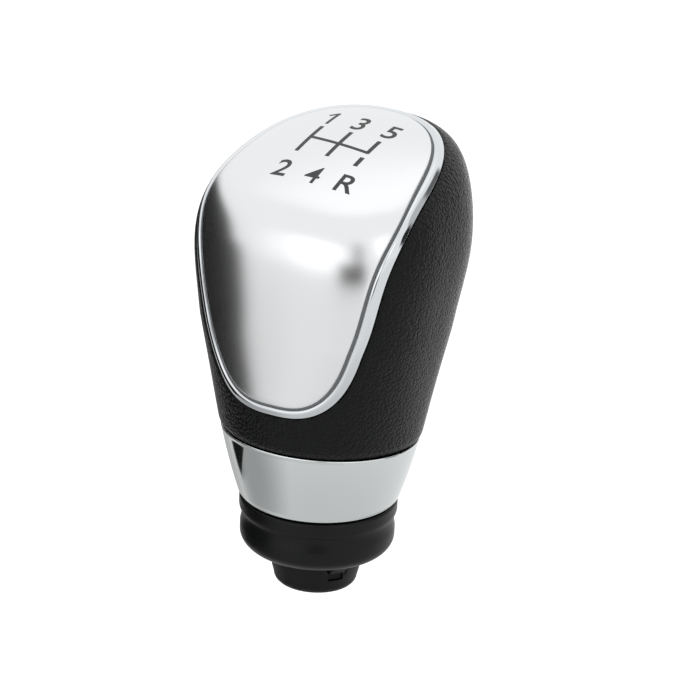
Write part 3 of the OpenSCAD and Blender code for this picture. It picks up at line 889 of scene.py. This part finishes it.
def makeCollarRib(number):
    # One rib, let a little into the hub and the shell
    c = gaiterCollar
    start = c["hub"] - c["ribLet"]
    end = c["waist"] - c["wall"] + c["ribLet"]
    low = collarLow + c["bowl"]
    high = collarHigh - c["ribDrop"]
    deselectAll()
    bpy.ops.mesh.primitive_cube_add(size=1, location=((start + end) / 2, 0, (low + high) / 2))
    piece = takePiece("collarRib")
    bpy.ops.transform.resize(value=(end - start, c["ribWidth"], high - low))
    bpy.ops.object.transform_apply(location=True, rotation=True, scale=True)
    applyModifier(piece, "BEVEL", width=c["ribRound"], segments=2)
    turn = Matrix.Rotation(2 * math.pi * (number + 0.5) / c["ribs"], 4, "Z")
    piece.data.transform(turn)
    return piece


makeGaiterCollar()
print("gaiter collar: done")


# Neck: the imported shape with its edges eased

neckSleeve = {
    "merge": 0.001 * mm,
    "flat": 0.5,
    "edge": 0.12 * mm,
    "sharp": 40,
}
innerFinishes = {
    "core": coreFinish,
    "shield_carrier": carrierFinish,
    "plate_tape": filmFinish,
    "lever_insert": insertFinish,
    "neck_screw_1": screwFinish,
    "neck_screw_2": screwFinish,
    "neck_screw_3": screwFinish,
}


def makeNeckSleeve():
    n = neckSleeve
    sharp = math.radians(n["sharp"])
    piece = bpy.data.objects.new("neckSleeve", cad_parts["neck_sleeve"].data.copy())
    scene.collection.objects.link(piece)
    closeUp(piece, n["merge"])
    editAll(piece)
    bpy.ops.mesh.dissolve_limited(angle_limit=math.radians(n["flat"]))
    bpy.ops.object.mode_set(mode="OBJECT")
    applyModifier(piece, "BEVEL", width=n["edge"], segments=2, limit_method="ANGLE", angle_limit=sharp)
    smooth(piece, n["sharp"])
    finishPiece(piece, neckFinish)
    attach(piece, "knob")
    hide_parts("neck_sleeve")


makeNeckSleeve()
for node, finish in innerFinishes.items():
    finishNode(node, finish)
print("neck and inner pieces: done")


# Shift pattern, printed on the plate: strokes and marks drawn flat on the shield's plane, then laid on

shiftPattern = {
    "above": 0.02 * mm,
    "below": 0.05 * mm,
    "strokes": [  # start, end and width in millimetres; the last two draw the number 1
        ((-6.2, 16.35), (-6.2, 7.07), 0.78),
        ((-6.4, 12.2), (6.3, 10.8), 0.74),
        ((0, 16.0), (0, 7.06), 0.78),
        ((6.1, 15.2), (6.1, 10.6), 0.78),
        ((6.1, 9.1), (6.1, 6.2), 0.85),
        ((-6.15, 17.5), (-6.15, 22.3), 0.62),
        ((-6.15, 22.1), (-7.55, 20.9), 0.55),
    ],
    "strokeCuts": 12,
    "marks": [  # sign, place in millimetres, and how much fuller its lines are made
        ("3", -0.1, 17.3, 0.011),
        ("5", 6.3, 16.9, 0.011),
        ("2", -5.8, -0.7, 0.011),
        ("4", 0.7, -1.1, 0.002),
        ("R", 7.1, -1.3, 0.011),
    ],
    "markSize": 6.7 * mm,
    "markWidth": 0.93,
    "markCurve": 6,
    "markCuts": 3,
    "merge": 0.001 * mm,
    "close": 0.0005 * mm,
}


def layOnPlate(places):
    # The flat print's height above zero becomes its height over the plate
    return onShield(places[:, 0], places[:, 1], -places[:, 2])


def makeStroke(start, end, width):
    p = shiftPattern
    a = Vector((start[0] * mm, start[1] * mm, 0))
    b = Vector((end[0] * mm, end[1] * mm, 0))
    along = b - a
    deselectAll()
    bpy.ops.mesh.primitive_cube_add(size=1)
    piece = takePiece("stroke")
    bpy.ops.transform.resize(value=(along.length, width * mm, p["above"] + p["below"]))
    bpy.ops.object.transform_apply(location=True, rotation=True, scale=True)
    turn = Matrix.Rotation(math.atan2(along.y, along.x), 4, "Z")
    lift = Vector((0, 0, (p["above"] - p["below"]) / 2))
    piece.data.transform(Matrix.Translation((a + b) / 2 + lift) @ turn)
    editAll(piece)
    bpy.ops.mesh.subdivide(number_cuts=p["strokeCuts"])
    bpy.ops.object.mode_set(mode="OBJECT")
    return piece


def makeMark(letter, x, y, weight):
    p = shiftPattern
    deselectAll()
    bpy.ops.object.text_add(location=(0, 0, 0))
    text = bpy.context.object
    text.data.body = letter
    text.data.size = p["markSize"]
    text.data.align_x = "CENTER"
    text.data.offset = weight * p["markSize"]
    text.data.extrude = (p["above"] + p["below"]) / 2
    text.data.resolution_u = p["markCurve"]
    bpy.ops.object.convert(target="MESH")
    piece = takePiece("mark")
    bpy.ops.transform.resize(value=(p["markWidth"], 1, 1))
    bpy.ops.transform.translate(value=(x * mm, y * mm, (p["above"] - p["below"]) / 2))
    bpy.ops.object.transform_apply(location=True, rotation=True, scale=True)
    editAll(piece)
    bpy.ops.mesh.remove_doubles(threshold=p["merge"])
    bpy.ops.mesh.quads_convert_to_tris()
    bpy.ops.mesh.subdivide(number_cuts=p["markCuts"])
    bpy.ops.object.mode_set(mode="OBJECT")
    return piece


def makeShiftPattern():
    pieces = [makeStroke(*stroke) for stroke in shiftPattern["strokes"]]
    pieces += [makeMark(*mark) for mark in shiftPattern["marks"]]
    joinPieces(pieces[0], pieces[1:])
    piece = takePiece("shiftPattern")
    movePoints(piece, layOnPlate)
    closeUp(piece, shiftPattern["close"])
    finishPiece(piece, inkFinish)
    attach(piece, "knob")


makeShiftPattern()
print("shift pattern: done")


# Studio

studio = {
    "middle": Vector((0, 0, 45 * mm)),
    "floorDrop": 240 * mm,
    "floorSize": 3.7,
    "floorPaper": 0.8,
    "floorGlow": 0.7,
    # In mirrors the floor is painted darker near the knob: painted shade standing for the knob's shadow
    # on it
    "floorNear": (127 * mm, 0.66),  # distance from the middle, and how light it looks in a mirror there
    "floorFar": (540 * mm, 0.9),
    "white": 1,
    "skyLight": 0.5,
}

# Azimuth, elevation, distance, width, height and radiance
softboxes = {
    "overheadBox": (-120, 62, 0.9, 0.9, 0.7, 1.1),
    "frontLeftBox": (-6, 8, 0.6, 0.36, 0.34, 1.7),
    "frontRightBox": (48, 16, 0.6, 0.26, 0.28, 1.3),
}

# Azimuth, elevation and distance; middle and size on the panel's plane; softness, glow and, where given,
# the corners: 2 makes an ellipse, and more is squarer
panels = {
    "darkFlag": ((-80, -3, 0.22), (0.022, -0.055), (0.37, 0.2), 0.24, 0.015),
    "darkTop": ((-80, -3, 0.221), (-0.04, 0), (0.41, 0.314), 0.24, 0.015, 2),
    "darkFoot": ((-80, -3, 0.222), (-0.042, -0.148), (0.12, 0.07), 0.3, 0.01),
    "greyTable": ((-70, -43, 0.27), (0, 0), (0.5, 0.28), 0.9, 0.38),
    "leftGrey": ((-133, -30, 0.27), (0, 0), (0.26, 0.17), 0.6, 0.52),
    "leftFlag": ((-124, -4, 0.26), (0, 0), (0.2, 0.18), 0.6, 0.05),
    "brightCard": ((-5, 5, 0.6), (0.02, 0.06), (0.62, 0.46), 0.45, 1.4),
    "overCard": ((-140, 45, 0.8), (-0.2, 0.5), (1.35, 1.1), 0.6, 1.2),
    "sideCard": ((63, 25, 0.6), (0, 0), (0.3, 0.4), 0.5, 1.4),
    "greyStem": ((28, 0, 0.45), (0.03, 0.12), (0.16, 0.5), 0.8, 0.45),
    "greyFoot": ((28, 0, 0.44), (-0.015, -0.035), (0.32, 0.21), 0.7, 0.01),
    "sideGrey": ((127, 17, 0.35), (0, 0), (0.18, 0.24), 0.25, 0.58),
    "sideHigh": ((147, 21, 0.34), (0, 0), (0.13, 0.15), 0.5, 0.14),
    "sideLow": ((115, 3, 0.34), (0, 0), (0.14, 0.16), 0.4, 0.02),
    "rimCard": ((196, -14, 0.6), (0, 0), (0.4, 0.34), 0.6, 1.7),
}


def direction(azimuth, elevation):
    # Unit vector; azimuth 0 points to the driver and turns towards +X
    a, e = math.radians(azimuth), math.radians(elevation)
    return Vector((math.sin(a) * math.cos(e), -math.cos(a) * math.cos(e), math.sin(e)))


def facing(azimuth, elevation, distance):
    # Place of a panel that looks at the middle of the knob
    towards = direction(azimuth, elevation)
    turn = towards.to_track_quat("Z", "Y").to_matrix().to_4x4()
    return Matrix.Translation(studio["middle"] + towards * distance) @ turn


def makeSoftbox(name, azimuth, elevation, distance, width, height, radiance):
    light = bpy.data.lights.new(name, "AREA")
    light.shape = "RECTANGLE"
    light.size = width
    light.size_y = height
    light.energy = radiance * math.pi * width * height
    lamp = bpy.data.objects.new(name, light)
    scene.collection.objects.link(lamp)
    lamp.matrix_world = facing(azimuth, elevation, distance)
    lamp.visible_camera = False
    lamp.visible_glossy = False


def makePanel(name, place, middle, size, soft, glow, square=4):
    # A bright card or a dark flag with soft edges, which shows only in reflections
    deselectAll()
    bpy.ops.mesh.primitive_plane_add(size=2)
    panel = takePiece(name)
    across, up = middle
    shift = Matrix.Translation((across, up, 0)) @ Matrix.Diagonal((size[0] / 2, size[1] / 2, 1, 1))
    panel.matrix_world = facing(*place) @ shift
    finish = Finish(name, Base_Color=(0, 0, 0, 1), Roughness=1)
    finish.set("Specular_IOR_Level", 0)
    finish.set("Emission_Color", (glow, glow, glow, 1))
    finish.set("Emission_Strength", 1)
    x = finish.add("ShaderNodeSeparateXYZ", {}, {"Vector": finish.place}, out="X")
    y = finish.add("ShaderNodeSeparateXYZ", {}, {"Vector": finish.place}, out="Y")
    reach = (x**square + y**square) ** (1 / square)
    finish.set("Alpha", finish.ease(reach, 1 - soft, 1, 1, 0))
    finish.material.cycles.emission_sampling = "NONE"
    finishPiece(panel, finish)
    panel.visible_camera = False
    panel.visible_diffuse = False
    panel.visible_shadow = False


def makeFloor():
    deselectAll()
    bpy.ops.mesh.primitive_circle_add(vertices=96, radius=studio["floorSize"] / 2, fill_type="NGON")
    floor = takePiece("floor")
    floor.location.z = -studio["floorDrop"]
    finish = Finish("floorPaper", Roughness=0.9, Emission_Strength=1)
    finish.set("Specular_IOR_Level", 0)
    seen, mirrored = finish.rays()
    spread = finish.add("ShaderNodeVectorMath", {"operation": "LENGTH"}, {0: finish.place}, out="Value")
    near, nearShade = studio["floorNear"]
    far, farShade = studio["floorFar"]
    # Painted shade: the mirrored floor glows less near the knob, as if in its shadow, and more further
    # out
    paintedShade = finish.ease(spread, near, far, nearShade, farShade)
    finish.set("Base_Color", studio["floorPaper"] * (1 - mirrored))
    finish.set("Emission_Color", seen * studio["floorGlow"] + mirrored * paintedShade)
    finish.material.cycles.emission_sampling = "NONE"
    finishPiece(floor, finish)


def makeWorld():
    # A dim sky that looks white to the camera and in reflections
    world = bpy.data.worlds.new("studioWorld")
    scene.world = world
    world.use_nodes = True
    world.cycles.sampling_method = "NONE"
    work = NodeWork(world.node_tree)
    seen, mirrored = work.rays()
    sky = studio["skyLight"]
    background = world.node_tree.nodes["Background"]
    background.inputs["Color"].default_value = (1, 1, 1, 1)
    work.feed(background.inputs["Strength"], sky + (seen + mirrored) * (studio["white"] - sky))


makeFloor()
makeWorld()
for name, values in softboxes.items():
    makeSoftbox(name, *values)
for name, values in panels.items():
    makePanel(name, *values)
print("studio: done")


# Camera, at the photograph's viewing angle

cameraView = {
    "azimuth": 27.4,
    "elevation": 22.1,
    "roll": 2.6,
    "distance": 600 * mm,
    "aimAcross": 4.6 * mm,
    "aimHeight": 46.1 * mm,
    "focalPixels": 3299,
    "framePixels": 700,
    "sensor": 36,
    "clipStart": 10 * mm,
}


def makeCamera():
    v = cameraView
    across = direction(v["azimuth"] + 90, 0)
    aim = across * v["aimAcross"] + Vector((0, 0, v["aimHeight"]))
    back = direction(v["azimuth"], v["elevation"])
    upright = Matrix((across, back.cross(across), back)).transposed().to_4x4()
    roll = Matrix.Rotation(math.radians(v["roll"]), 4, "Z")
    data = bpy.data.cameras.new("photoCamera")
    data.sensor_width = v["sensor"]
    data.lens = v["sensor"] * v["focalPixels"] / v["framePixels"]
    data.clip_start = v["clipStart"]
    camera = bpy.data.objects.new("photoCamera", data)
    scene.collection.objects.link(camera)
    camera.matrix_world = Matrix.Translation(aim + back * v["distance"]) @ upright @ roll
    scene.camera = camera


makeCamera()
scene.view_settings.view_transform = "Standard"
print("camera: done")
